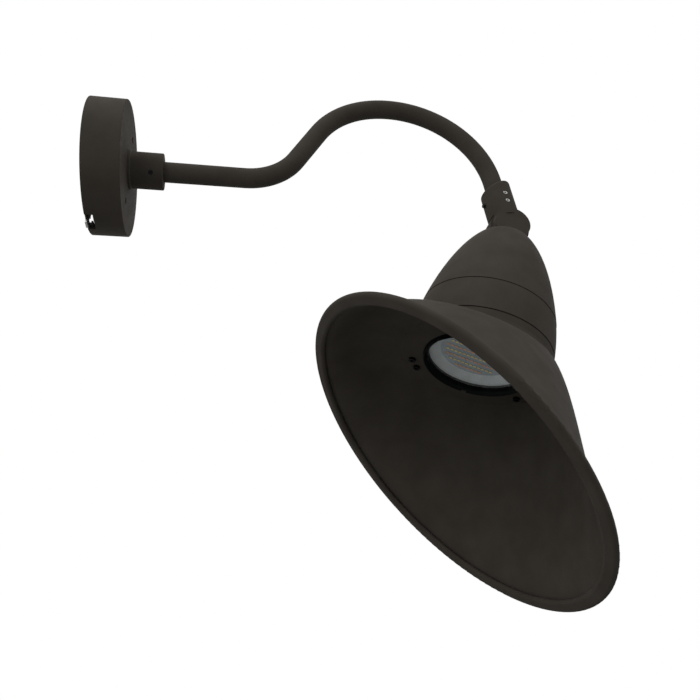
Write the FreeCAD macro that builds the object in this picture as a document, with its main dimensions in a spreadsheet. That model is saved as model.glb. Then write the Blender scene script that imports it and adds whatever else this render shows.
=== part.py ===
import FreeCAD, Part
import math
import os
import Sketcher

from FreeCAD import Placement, Rotation, Vector

# Gooseneck wall sconce. Millimetres, the wall is the plane x = 0, +X runs out of the wall along
# the arm and +Z is up. The origin is the centre of the canopy's back.

SIZES = {
    # canopy and what holds it to the wall box
    "canopy_radius": 69.85,
    "canopy_depth": 36.2,
    "canopy_wall": 3.0,
    "canopy_screw_half_pitch": 41.65,
    "box_screw_half_pitch": 44.45,
    "box_slot_radius": 2.4,
    "box_slot_length": 8.0,
    "plate_thickness": 2.0,
    "plate_clearance": 3.85,
    "plate_width": 24.0,
    "supply_hole_radius": 13.0,
    "gasket_width": 5.0,
    "gasket_thickness": 3.0,
    "notch_width": 24.0,
    "notch_depth": 8.0,
    "notch_offset": 3.0,
    "tab_width": 9.0,
    "tab_drop": 3.0,
    "canopy_screw_radius": 2.0,
    # hub
    "hub_radius": 19.05,
    "hub_length": 35.2,
    "hub_base_step": 1.25,
    "hub_base_length": 3.0,
    "hub_tail_radius": 15.0,
    "hub_tail_length": 11.0,
    "locknut_land": 6.0,
    "locknut_thickness": 4.0,
    "hub_screw_setback": 11.9,
    "hub_screw_angle": 45.0,
    "set_screw_radius": 2.5,
    # arm
    "tube_radius": 10.65,
    "tube_wall": 2.1,
    "turning_clearance": 0.05,
    "tube_inset": 12.0,
    "arm_reach": 156.0,
    "rise_radius": 66.0,
    "rise_angle": 58.0,
    "rise_run": 52.3,
    "crest_radius": 102.3,
    "crest_angle": 45.5,
    "fall_radius": 114.6,
    "fall_angle": 97.5,
    "pivot_drop": 69.4,
    "wire_radius": 1.5,
    "wire_spacing": 5.0,
    "wire_tail": 5.2,
    "connector_gap": 0.2,
    "connector_length": 14.0,
    # knuckle
    "sleeve_radius": 17.8,
    "sleeve_length": 60.0,
    "sleeve_slant": 21.0,
    "sleeve_rounding": 4.0,
    "sleeve_root": 13.0,
    "sleeve_bore_stop": 27.0,
    "wire_way_radius": 7.0,
    "ear_radius": 20.4,
    "ear_thickness": 8.4,
    "lug_radius": 22.4,
    "lug_face": 7.6,
    "lug_back": 14.0,
    "lug_gap": 0.8,
    "washer_radius": 12.0,
    "bolt_radius": 4.0,
    "bolt_head_radius": 8.0,
    "bolt_head_height": 5.0,
    "bolt_washer_thickness": 1.2,
    "stem_half_width": 18.0,
    "stem_flare": 3.0,
    "foot_thickness": 3.0,
    "stem_way_radius": 6.0,
    "foot_stud_radius": 9.5,
    "foot_stud_length": 14.0,
    "foot_nut_radius": 17.0,
    "foot_nut_thickness": 5.0,
    "sleeve_screw_rise": 4.0,
    "sleeve_screw_step": 11.0,
    "sleeve_screw_across": 2.0,
    "lock_screw_rise": 9.0,
    "lock_screw_stand": 3.0,
    "lock_screw_radius": 2.0,
    # head
    "head_tilt": 20.4,
    "ear_clearance": 0.6,
    "crown_height": 104.0,
    "dome_girth": 79.1,
    "dome_length": 233.0,
    "dome_sink": 110.9,
    "shell_wall": 2.5,
    "crown_margin": 1.0,
    "seam_gap": 0.8,
    "spigot_wall": 2.2,
    "spigot_length": 5.0,
    "spigot_clearance": 0.2,
    "spigot_step": 0.6,
    "band_step": 0.27,
    "band_flare": 3.2,
    "band_bulge_radius": 250.0,
    "band_height": 37.6,
    "ring_height": 16.0,
    "waist_step": 0.9,
    "ring_flare": 3.0,
    "ring_lip": 2.6,
    "ring_cove_radius": 14.0,
    "ring_cove_height": 8.5,
    "seat_depth": 11.2,
    "seat_thickness": 3.2,
    "seat_rise": 3.6,
    "seat_radius": 50.6,
    # light engine
    "board_drop": 5.6,
    "board_thickness": 1.6,
    "board_margin": 2.1,
    "sink_clearance": 1.7,
    "sink_plate": 5.6,
    "fin_thickness": 3.0,
    "fin_pitch": 12.0,
    "fin_height": 28.0,
    "fin_margin": 4.5,
    "sink_screw_shift": 1.1,
    "sink_screw_radius": 1.5,
    "lead_radius": 1.1,
    "lead_spacing": 20.0,
    "driver_ear": 4.0,
    "array_radius": 39.4,
    "array_turn": 1.7,
    "array_shift": 0.5,
    "chip_length": 3.5,
    "chip_width": 2.8,
    "chip_height": 0.8,
    "array_margin": 4.2,
    "row_margin": 8.0,
    "lens_lap": 2.7,
    "lens_thickness": 2.8,
    "lens_gasket_thickness": 0.8,
    "reflector_wall": 1.2,
    "lens_clearance": 0.5,
    "retainer_clearance": 0.4,
    "retainer_wall": 3.8,
    "retainer_drop": 6.2,
    "retainer_flare": 2.6,
    "notch_turn": 85.0,
    "driver_length": 84.0,
    "driver_width": 46.0,
    "driver_height": 28.0,
    "bracket_thickness": 1.5,
    # shade
    "shade_wall": 1.8,
    "shade_clearance": 0.8,
    "shade_gasket_thickness": 1.0,
    "shoulder_step": 2.5,
    "shade_screw_inset": 7.1,
    "shade_screw_turn": 32.5,
    "shade_screw_grip": 8.0,
    "screw_tip_gap": 0.6,
    "shade_screw_radius": 2.0,
    "bond_screw_turn": 140.0,
    "rim_across": -11.1,
    "rim_drop": 162.8,
    "rim_lean": 30.7,
    "skirt_radius": 169.0,
    "skirt_overlap": 2.0,
    "bulge_across": -2.8,
    "bulge_up": 21.7,
    "rim_radius": 174.6,
    "bead_width": 12.6,
    "bead_thickness": 6.4,
}


class Size:
    """A number together with the spreadsheet formula that gives it."""

    def __init__(self, value, text):
        self.value = float(value)
        self.text = text

    def join(self, sign, other, value):
        return Size(value, f"({self.text} {sign} {other.text})")

    def __add__(self, other):
        other = as_size(other)
        return self.join("+", other, self.value + other.value)

    def __sub__(self, other):
        other = as_size(other)
        return self.join("-", other, self.value - other.value)

    def __mul__(self, other):
        other = as_size(other)
        return self.join("*", other, self.value * other.value)

    def __truediv__(self, other):
        other = as_size(other)
        return self.join("/", other, self.value / other.value)

    def __radd__(self, other):
        return as_size(other) + self

    def __rsub__(self, other):
        return as_size(other) - self

    def __rmul__(self, other):
        return as_size(other) * self

    def __neg__(self):
        return Size(-self.value, f"(0 - {self.text})")


def as_size(number):
    """A Size for a plain number, or the Size itself."""
    if isinstance(number, Size):
        return number
    return Size(number, f"({number:.9g})")


def sine(angle):
    """Sine of a Size in degrees."""
    return Size(math.sin(math.radians(angle.value)), f"sin({angle.text} * 1 deg)")


def cosine(angle):
    """Cosine of a Size in degrees."""
    return Size(math.cos(math.radians(angle.value)), f"cos({angle.text} * 1 deg)")


def root(number):
    """Square root of a Size."""
    return Size(math.sqrt(number.value), f"sqrt({number.text})")


doc = FreeCAD.newDocument("WallSconce")
sheet = doc.addObject("Spreadsheet::Sheet", "Sizes")
for row, (alias, number) in enumerate(SIZES.items(), start=1):
    sheet.set(f"A{row}", alias)
    sheet.set(f"B{row}", str(number))
    sheet.setAlias(f"B{row}", alias)
doc.recompute()
S = {alias: Size(number, f"Sizes.{alias}") for alias, number in SIZES.items()}


def tie(alias, size):
    """Give a size that follows others its own name and formula in the sheet."""
    row = len(S) + 1
    sheet.set(f"A{row}", alias)
    sheet.set(f"B{row}", "=" + size.text.replace("Sizes.", ""))
    sheet.setAlias(f"B{row}", alias)
    S[alias] = Size(size.value, f"Sizes.{alias}")


def ellipse_reach(height, girth, length):
    """Radius of the dome's ellipsoid at a height over the seam."""
    part = (height + S["dome_sink"]) / length
    return girth * root(1 - part * part)


# ---------------------------------------------------------------- sizes that follow others

tie("canopy_ledge", S["canopy_radius"] - S["canopy_wall"] - S["gasket_width"])
tie("plate_reach", S["canopy_ledge"] - S["plate_clearance"])
tie("hub_base_radius", S["hub_radius"] + S["hub_base_step"])
tie("locknut_radius", S["hub_tail_radius"] + S["locknut_land"])
tie("tube_start", S["canopy_depth"] - S["tube_inset"])
tie("wire_start", S["tube_start"] - S["wire_tail"])
tie("connector_radius", (S["wire_spacing"] - S["connector_gap"]) / 2)
tie("sleeve_screw_low", S["sleeve_bore_stop"] + S["sleeve_screw_rise"])
tie("lock_screw_height", S["sleeve_bore_stop"] + S["lock_screw_rise"])
tie("pivot_height", S["crown_height"] + S["ear_radius"] + S["ear_clearance"])
# the head's radii, from the dome's foot down to the shade's shoulder
tie("dome_foot_radius", ellipse_reach(0, S["dome_girth"], S["dome_length"]))
tie("band_top_radius", S["dome_foot_radius"] - S["band_step"])
tie("band_foot_radius", S["band_top_radius"] + S["band_flare"])
tie("ring_waist_radius", S["band_foot_radius"] - S["waist_step"])
tie("ring_foot_radius", S["ring_waist_radius"] + S["ring_flare"])
tie("shoulder_radius", S["ring_foot_radius"] + S["shoulder_step"])
tie("shade_screw_circle", S["ring_foot_radius"] - S["shade_screw_inset"])
# the inner girth and length of the dome, and what fits inside the spigots
tie("inner_girth", S["dome_girth"] - S["shell_wall"])
tie("inner_length", S["dome_length"] - S["shell_wall"])
tie("spigot_radius", ellipse_reach(S["spigot_length"], S["inner_girth"], S["inner_length"])
    - S["spigot_clearance"])
tie("band_bore", S["spigot_radius"] + S["spigot_step"])
tie("ring_spigot_radius", S["band_bore"] - S["spigot_clearance"])
tie("ring_bore", S["ring_spigot_radius"] - S["spigot_wall"])
tie("sink_radius", S["ring_bore"] - S["sink_clearance"])
tie("fin_reach", S["sink_radius"] - S["fin_margin"])
tie("sink_screw_circle", (S["seat_radius"] + S["sink_radius"]) / 2 - S["sink_screw_shift"])
tie("sink_screw_across", root(S["sink_screw_circle"] * S["sink_screw_circle"]
                              - S["fin_pitch"] * S["fin_pitch"] * 4))
tie("driver_screw_across", S["driver_length"] / 2 + S["driver_ear"])
# the light engine, from the seat of the lens
tie("board_depth", S["band_height"] + S["board_drop"])
tie("board_radius", S["seat_radius"] - S["board_margin"])
tie("chip_pitch", (S["array_radius"] - S["array_margin"]) / 8)
tie("row_pitch", (S["array_radius"] - S["row_margin"]) / 4)
tie("lens_radius", S["seat_radius"] + S["lens_lap"])
tie("retainer_radius", S["lens_radius"] + S["lens_clearance"])
tie("retainer_bore", S["retainer_radius"] - S["retainer_wall"])
tie("shade_hole_radius", S["retainer_radius"] + S["shade_clearance"])
# the crown's neck, which carries the lug's foot
tie("foot_half_width", S["stem_half_width"] + S["stem_flare"])
tie("neck_radius", root(S["foot_half_width"] * S["foot_half_width"] + S["lug_back"] * S["lug_back"])
    + S["crown_margin"])
doc.recompute()


# ---------------------------------------------------------------- drawing helpers

X_AXIS = Vector(1, 0, 0)
Y_AXIS = Vector(0, 1, 0)
Z_AXIS = Vector(0, 0, 1)
FRONT = "XZ_Plane"
SIDE = "YZ_Plane"
FLOOR = "XY_Plane"
# turns the Z axis of a primitive to the axis named
ALONG = {
    "+X": Rotation(Y_AXIS, 90),
    "-X": Rotation(Y_AXIS, -90),
    "+Y": Rotation(X_AXIS, -90),
    "-Y": Rotation(X_AXIS, 90),
    "+Z": Rotation(),
    "-Z": Rotation(X_AXIS, 180),
}
nodes = []


def bind(thing, name, size):
    """Give a property its Size."""
    thing.setExpression(name, as_size(size).text)


def place(thing, at, turn=None, prefix="Placement"):
    """Put a thing at three Sizes, with a fixed turn."""
    point = [as_size(size) for size in at]
    placement = Placement(Vector(*[size.value for size in point]), turn or Rotation())
    setattr(thing, prefix, placement)
    for letter, size in zip("xyz", point):
        bind(thing, f"{prefix}.Base.{letter}", size)


def new_body(name):
    """An empty body at the origin."""
    return doc.addObject("PartDesign::Body", name)


def new_sketch(body, plane, offset=0):
    """A sketch on one of the body's origin planes, moved along its normal."""
    sketch = body.newObject("Sketcher::SketchObject", body.Name + "Sketch")
    support = [f for f in body.Origin.OriginFeatures if f.Role == plane][0]
    sketch.AttachmentSupport = [(support, "")]
    sketch.MapMode = "FlatFace"
    bind(sketch, "AttachmentOffset.Base.z", offset)
    return sketch


def pin(sketch, edge, end, point):
    """Fix one end of an edge at two Sizes."""
    for kind, size in zip(("DistanceX", "DistanceY"), point):
        size = as_size(size)
        index = sketch.addConstraint(Sketcher.Constraint(kind, -1, 1, edge, end, size.value))
        sketch.renameConstraint(index, f"{kind}{edge}_{end}")
        bind(sketch, f"Constraints.{kind}{edge}_{end}", size)


def draw(sketch, points, closed=True):
    """Edges through points (u, v) or, for an arc that ends there, (u, v, radius).

    A radius over 0 bends to the left of the way, one under 0 to the right.
    """
    flat = [Vector(as_size(p[0]).value, as_size(p[1]).value, 0) for p in points]
    count = len(points) if closed else len(points) - 1
    for i in range(count):
        k = (i + 1) % len(points)
        start, end = flat[i], flat[k]
        if len(points[k]) == 3:
            radius = as_size(points[k][2])
            edge = sketch.addGeometry(arc_between(start, end, radius.value), False)
            name = f"Bend{edge}"
            rule = Sketcher.Constraint("Radius", edge, abs(radius.value))
            sketch.renameConstraint(sketch.addConstraint(rule), name)
            bind(sketch, f"Constraints.{name}", radius if radius.value > 0 else -radius)
            forward = radius.value > 0
        else:
            edge = sketch.addGeometry(Part.LineSegment(start, end), False)
            forward = True
        pin(sketch, edge, 1 if forward else 2, points[i])
        pin(sketch, edge, 2 if forward else 1, points[k])
    return sketch


def arc_between(start, end, radius):
    """The short arc from start to end that bends left for a radius over 0."""
    chord = end - start
    half = chord.Length / 2
    left = Vector(-chord.y, chord.x, 0).normalize()
    sign = 1 if radius > 0 else -1
    centre = (start + end) * 0.5 + left * sign * math.sqrt(max(radius * radius - half * half, 0))
    first, last = (start, end) if radius > 0 else (end, start)
    turns = [math.atan2(p.y - centre.y, p.x - centre.x) for p in (first, last)]
    if turns[1] < turns[0]:
        turns[1] += 2 * math.pi
    return Part.ArcOfCircle(Part.Circle(centre, Z_AXIS, abs(radius)), *turns)


def circle(sketch, radius, u=0, v=0):
    """A circle in a sketch, by its radius and centre."""
    radius = as_size(radius)
    centre = Vector(as_size(u).value, as_size(v).value, 0)
    edge = sketch.addGeometry(Part.Circle(centre, Vector(0, 0, 1), radius.value), False)
    name = f"Radius{edge}"
    sketch.renameConstraint(sketch.addConstraint(Sketcher.Constraint("Radius", edge, radius.value)), name)
    bind(sketch, f"Constraints.{name}", radius)
    pin(sketch, edge, 3, (u, v))
    return sketch


def turned(body, points, axis="V_Axis"):
    """Revolve an outline on the front plane about the vertical or horizontal axis."""
    sketch = draw(new_sketch(body, FRONT), points)
    feature = body.newObject("PartDesign::Revolution", body.Name + "Turn")
    feature.Profile = sketch
    feature.ReferenceAxis = (sketch, [axis])
    feature.Angle = 360
    return feature


def solid_pin(body, radius, length, at, turn="+Z", cut=False):
    """Add or cut a round pin in a body, from a point along a direction."""
    kind = "Subtractive" if cut else "Additive"
    feature = body.newObject(f"PartDesign::{kind}Cylinder", f"{body.Name}{kind}Pin")
    bind(feature, "Radius", radius)
    bind(feature, "Height", length)
    place(feature, at, ALONG[turn] if isinstance(turn, str) else turn)
    return feature


def solid_block(body, size, at, turn=None, cut=False):
    """Add or cut a block in a body, by its three sizes and its low corner."""
    kind = "Subtractive" if cut else "Additive"
    feature = body.newObject(f"PartDesign::{kind}Box", f"{body.Name}{kind}Block")
    for name, length in zip(("Length", "Width", "Height"), size):
        bind(feature, name, length)
    place(feature, at, turn)
    return feature


def node(name, thing):
    """Keep a finished piece under the name of its file."""
    thing.Label = name
    nodes.append(thing)
    return thing


# ---------------------------------------------------------------- places on the object

def turn_steps(heading, radius, bend):
    """Sizes across and up that an arc covers from a heading; a bend under 0 turns down."""
    after = heading + bend
    side = 1 if bend.value > 0 else -1
    across = radius * (sine(after) - sine(heading)) * side
    up = radius * (cosine(heading) - cosine(after)) * side
    return across, up, after


def arm_route(start, stop):
    """Points of the arm's centre line from x = start to a distance stop short of the pivot."""
    points = [(start, 0), (S["arm_reach"], 0)]
    heading = Size(0, "0")
    x, z = S["arm_reach"], Size(0, "0")
    bends = [
        (S["rise_radius"], S["rise_angle"], S["rise_run"]),
        (S["crest_radius"], -S["crest_angle"], None),
        (S["fall_radius"], -S["fall_angle"], S["pivot_drop"] - stop),
    ]
    for radius, bend, run in bends:
        across, up, heading = turn_steps(heading, radius, bend)
        x, z = x + across, z + up
        points.append((x, z, radius if bend.value > 0 else -radius))
        if run is not None:
            x, z = x + run * cosine(heading), z + run * sine(heading)
            points.append((x, z))
    return points, heading


ROUTE, FALL_HEADING = arm_route(S["canopy_depth"], Size(0, "0"))
PIVOT = (ROUTE[-1][0], 0, ROUTE[-1][1])
SLEEVE_TILT = -(FALL_HEADING + 90)
HEAD = (
    PIVOT[0] - S["pivot_height"] * sine(S["head_tilt"]),
    0,
    PIVOT[2] - S["pivot_height"] * cosine(S["head_tilt"]),
)
SLEEVE_FRAME = (PIVOT, SLEEVE_TILT)
HEAD_FRAME = (HEAD, S["head_tilt"])
BORE = S["tube_radius"] + S["turning_clearance"]
CANOPY_FACE = S["canopy_depth"]
CANOPY_INSIDE = S["canopy_depth"] - S["canopy_wall"]
HUB_END = S["canopy_depth"] + S["hub_length"]
SEAM = S["seam_gap"] / 2
BAND_FOOT = -(S["band_height"] - SEAM)
RING_TOP = -(S["band_height"] + SEAM)
RING_FOOT = -(S["band_height"] + S["ring_height"])
SHADE_TOP = RING_FOOT - SEAM
GASKET_TOP = SHADE_TOP + S["shade_gasket_thickness"]
BOARD_FRONT = -S["board_depth"]
BOARD_BACK = BOARD_FRONT + S["board_thickness"]
SINK_TOP = BOARD_BACK + S["sink_plate"]
FIN_TOP = SINK_TOP + S["fin_height"]
SEAT_TOP = -(S["band_height"] + S["seat_depth"] - S["seat_rise"])
SEAT_FOOT = SEAT_TOP - S["seat_thickness"]
LENS_TOP = SEAT_FOOT - S["lens_gasket_thickness"]
LENS_FOOT = LENS_TOP - S["lens_thickness"]
BRACKET_TOP = FIN_TOP + S["bracket_thickness"]
DRIVER_TOP = BRACKET_TOP + S["driver_height"]
CROWN_INSIDE = S["crown_height"] - S["shell_wall"]


def head_body(name):
    """A body in the head's frame: Z up the head's axis, the dome's lower seam at zero."""
    return seat(new_body(name), HEAD_FRAME)


def sleeve_body(name):
    """A body in the knuckle's frame: origin on the pivot, Z up into the arm."""
    return seat(new_body(name), SLEEVE_FRAME)


def seat(thing, frame):
    """Put a thing built at the origin into the knuckle's or the head's frame."""
    at, tilt = frame
    place(thing, at, Rotation(Y_AXIS, 1))
    bind(thing, "Placement.Rotation.Angle", tilt)
    return thing


def seated(name, label, things, frame):
    """Solids built at the origin, kept as one node in a frame."""
    group = doc.addObject("Part::Compound", name)
    group.Links = things
    return node(label, seat(group, frame))


# ---------------------------------------------------------------- canopy

def mounting_plate():
    """Cross of steel strip on the wall box, with a tab through the canopy's drain notch."""
    body = new_body("MountingPlate")
    thick = S["plate_thickness"]
    reach = S["plate_reach"]
    width = S["plate_width"]
    solid_block(body, (thick, width, reach * 2), (0, -width / 2, -reach))
    solid_block(body, (thick, reach * 2, width), (0, -reach, -width / 2))
    tab = S["canopy_radius"] + S["tab_drop"] - reach
    across = S["notch_offset"] - S["tab_width"] / 2
    solid_block(body, (thick, S["tab_width"], tab + 2), (0, across, -(reach + tab)))
    solid_pin(body, S["supply_hole_radius"], thick + 2, (-1, 0, 0), "+X", cut=True)
    for side in (-1, 1):
        pitch = S["canopy_screw_half_pitch"] * side
        solid_pin(body, S["canopy_screw_radius"] + 0.05, thick + 2, (-1, 0, pitch), "+X", cut=True)
        slot = S["box_screw_half_pitch"] * side
        run = S["box_slot_length"] - S["box_slot_radius"] * 2
        low = (-1, slot - run / 2, -S["box_slot_radius"])
        solid_block(body, (thick + 2, run, S["box_slot_radius"] * 2), low, cut=True)
        for end in (-1, 1):
            centre = slot + run / 2 * end
            solid_pin(body, S["box_slot_radius"], thick + 2, (-1, centre, 0), "+X", cut=True)
    ground = S["plate_width"]
    solid_pin(body, S["canopy_screw_radius"] + 0.05, thick + 2, (-1, ground, 0), "+X", cut=True)
    return node("mounting_plate", body)


def ground_screw():
    """Green screw with its cup on the mounting plate."""
    body = new_body("GroundScrew")
    thick = S["plate_thickness"]
    shank = S["canopy_screw_radius"]
    solid_pin(body, shank, thick, (0.2, S["plate_width"], 0), "+X")
    solid_pin(body, shank * 2.1, 2.4, (thick, S["plate_width"], 0), "+X")
    slot = (1.2, shank * 5, 1)
    solid_block(body, slot, (thick + 1.4, S["plate_width"] - shank * 2.5, -0.5), cut=True)
    return node("ground_screw", body)


def canopy():
    """Deep cast cup over the wall box, with two screw posts and a drain notch."""
    body = new_body("Canopy")
    wall = S["canopy_wall"]
    radius = S["canopy_radius"]
    ledge = S["canopy_ledge"]
    seat = S["gasket_thickness"]
    hole = S["hub_tail_radius"] + 0.2
    turned(body, [
        (0, radius - wall),
        (0, radius),
        (CANOPY_FACE - 1, radius),
        (CANOPY_FACE, radius - 1, -1),
        (CANOPY_FACE, hole),
        (CANOPY_INSIDE, hole),
        (CANOPY_INSIDE, radius - wall),
        (seat + 2, radius - wall),
        (seat + 2, ledge),
        (seat, ledge),
        (seat, radius - wall),
    ], "H_Axis")
    sink = S["canopy_screw_radius"] * 1.75
    for side in (-1, 1):
        at = S["canopy_screw_half_pitch"] * side
        low = S["plate_thickness"] + 1
        solid_pin(body, sink + 2.4, CANOPY_FACE - 1 - low, (low, 0, at), "+X")
        solid_pin(body, S["canopy_screw_radius"] + 0.2, CANOPY_FACE, (0, 0, at), "+X", cut=True)
        solid_pin(body, sink, 5, (CANOPY_FACE - 4, 0, at), "+X", cut=True)
    notch = (S["notch_depth"] + 1, S["notch_width"], radius - ledge + 3)
    across = S["notch_offset"] - S["notch_width"] / 2
    solid_block(body, notch, (-1, across, -(radius + 2)), cut=True)
    return node("canopy", body)


def canopy_gasket():
    """Foam ring in the canopy's back, open at the drain notch."""
    body = new_body("CanopyGasket")
    outer = S["canopy_radius"] - S["canopy_wall"] - 0.1
    inner = outer - S["gasket_width"]
    seat = S["gasket_thickness"]
    turned(body, [(0, inner), (0, outer), (seat, outer), (seat, inner)], "H_Axis")
    across = S["notch_offset"] - S["notch_width"] / 2
    notch = (seat + 2, S["notch_width"], S["gasket_width"] + 12)
    solid_block(body, notch, (-1, across, -(outer + 2)), cut=True)
    return node("canopy_gasket", body)


def screw(name, shank, length, head, height, socket, at, turn="+Z"):
    """A cap screw whose head stands on a point and whose shank runs back from it."""
    rod = doc.addObject("Part::Cylinder", name + "Shank")
    cap = doc.addObject("Part::Cylinder", name + "Cap")
    key = doc.addObject("Part::Prism", name + "Key")
    key.Polygon = 6
    bind(rod, "Radius", shank)
    bind(rod, "Height", length)
    bind(cap, "Radius", head)
    bind(cap, "Height", height)
    bind(key, "Circumradius", socket)
    bind(key, "Height", height)
    rod.Placement = Placement(Vector(0, 0, -as_size(length).value), Rotation())
    bind(rod, "Placement.Base.z", -as_size(length))
    key.Placement = Placement(Vector(0, 0, as_size(height).value * 0.4), Rotation())
    bind(key, "Placement.Base.z", as_size(height) * 0.4)
    blank = doc.addObject("Part::Fuse", name + "Blank")
    blank.Base = rod
    blank.Tool = cap
    whole = doc.addObject("Part::Cut", name)
    whole.Base = blank
    whole.Tool = key
    place(whole, at, ALONG[turn] if isinstance(turn, str) else turn)
    return whole


def grouped(name, label, things):
    """Separate solids kept as one node."""
    group = doc.addObject("Part::Compound", name)
    group.Links = things
    return node(label, group)


def canopy_screws():
    """The two screws sunk in the canopy's face."""
    shank = S["canopy_screw_radius"]
    base = CANOPY_FACE - 4
    things = [
        screw(f"CanopyScrew{i}", shank, base - 0.3, shank * 1.6, 3.2, shank * 0.8,
              (base, 0, S["canopy_screw_half_pitch"] * side), "+X")
        for i, side in enumerate((-1, 1))
    ]
    return grouped("CanopyScrews", "canopy_screws", things)


def hub():
    """Collar that holds the arm, with its threaded tail through the canopy."""
    body = new_body("Hub")
    tail = CANOPY_FACE - S["hub_tail_length"]
    foot = CANOPY_FACE + S["hub_base_length"]
    turned(body, [
        (tail, BORE),
        (tail, S["hub_tail_radius"]),
        (CANOPY_FACE, S["hub_tail_radius"]),
        (CANOPY_FACE, S["hub_base_radius"]),
        (foot - 1, S["hub_base_radius"]),
        (foot, S["hub_radius"]),
        (HUB_END - 1, S["hub_radius"]),
        (HUB_END, S["hub_radius"] - 1, -1),
        (HUB_END, BORE),
    ], "H_Axis")
    at = HUB_END - S["hub_screw_setback"]
    below = Rotation(X_AXIS, 90 + S["hub_screw_angle"].value)
    solid_pin(body, S["set_screw_radius"] + 0.05, S["hub_radius"] + 2, (at, 0, 0), below, cut=True)
    return node("hub", body)


def grub_screw(name, radius, tip, end, at, turn):
    """A headless screw that reaches from a distance tip to a distance end along its axis."""
    rod = doc.addObject("Part::Cylinder", name + "Rod")
    key = doc.addObject("Part::Prism", name + "Key")
    key.Polygon = 6
    bind(rod, "Radius", radius)
    bind(rod, "Height", end - tip)
    bind(key, "Circumradius", radius * 0.55)
    bind(key, "Height", 3)
    place(rod, (0, 0, tip))
    place(key, (0, 0, end - 2))
    whole = doc.addObject("Part::Cut", name)
    whole.Base = rod
    whole.Tool = key
    place(whole, at, turn)
    return whole


def hub_set_screw():
    """Grub screw that holds the arm in the hub."""
    at = HUB_END - S["hub_screw_setback"]
    tip = S["tube_radius"] + 0.25
    end = S["hub_radius"] - 0.6
    turn = Rotation(X_AXIS, 90 + S["hub_screw_angle"].value)
    thing = grub_screw("HubSetScrew", S["set_screw_radius"], tip, end, (at, 0, 0), turn)
    return node("hub_set_screw", thing)


def hex_nut(name, label, radius, bore, height, at, turn="+Z"):
    """A hexagon nut with its low face on a point."""
    block = doc.addObject("Part::Prism", name + "Block")
    hole = doc.addObject("Part::Cylinder", name + "Hole")
    block.Polygon = 6
    bind(block, "Circumradius", radius)
    bind(block, "Height", height)
    bind(hole, "Radius", bore)
    bind(hole, "Height", height)
    whole = doc.addObject("Part::Cut", name)
    whole.Base = block
    whole.Tool = hole
    place(whole, at, ALONG[turn] if isinstance(turn, str) else turn)
    return node(label, whole)


def hub_locknut():
    """Nut on the hub's tail, inside the canopy."""
    low = CANOPY_INSIDE - S["locknut_thickness"]
    bore = S["hub_tail_radius"] + 0.1
    return hex_nut("HubLocknut", "hub_locknut", S["locknut_radius"], bore, S["locknut_thickness"],
                   (low, 0, 0), "+X")


# ---------------------------------------------------------------- arm

def swept(name, start, stop, radii, aside=0):
    """A tube or rod along the arm's line, moved aside along Y."""
    body = new_body(name)
    points, _ = arm_route(start, stop)
    spine = draw(new_sketch(body, FRONT, -as_size(aside)), points, closed=False)
    section = new_sketch(body, SIDE, start)
    for radius in radii:
        circle(section, radius, aside, 0)
    pipe = body.newObject("PartDesign::AdditivePipe", name + "Pipe")
    pipe.Profile = section
    pipe.Spine = (spine, [f"Edge{i + 1}" for i in range(len(points) - 1)])
    return body


def arm_tube():
    """Bent steel tube from the hub to the knuckle."""
    start = S["tube_start"]
    radii = (S["tube_radius"], S["tube_radius"] - S["tube_wall"])
    return node("arm_tube", swept("ArmTube", start, S["sleeve_bore_stop"] + 0.5, radii))


def arm_wires():
    """Line, neutral and ground wires through the arm."""
    lanes = (("line_wire", "LineWire"), ("neutral_wire", "NeutralWire"), ("ground_wire", "GroundWire"))
    for lane, (label, name) in enumerate(lanes, start=-1):
        aside = S["wire_spacing"] * lane
        stop = S["sleeve_bore_stop"] + 1.5
        node(label, swept(name, S["wire_start"], stop, (S["wire_radius"],), aside))


def wire_connectors():
    """Crimp connectors on the wires' ends in the canopy."""
    things = []
    low = S["wire_start"] - S["connector_length"]
    for i, lane in enumerate((-1, 0, 1)):
        cap = doc.addObject("Part::Cylinder", f"WireConnector{i}")
        bind(cap, "Radius", S["connector_radius"])
        bind(cap, "Height", S["connector_length"])
        place(cap, (low, S["wire_spacing"] * lane, 0), ALONG["+X"])
        things.append(cap)
    return grouped("WireConnectors", "wire_connectors", things)


# ---------------------------------------------------------------- knuckle

EAR_FACE = S["lug_face"] + S["lug_gap"]
EAR_BACK = EAR_FACE + S["ear_thickness"]


def sleeve_screw_heights():
    """Heights of the two grub screws over the pivot."""
    return [S["sleeve_screw_low"] + S["sleeve_screw_step"] * i for i in range(2)]


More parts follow.
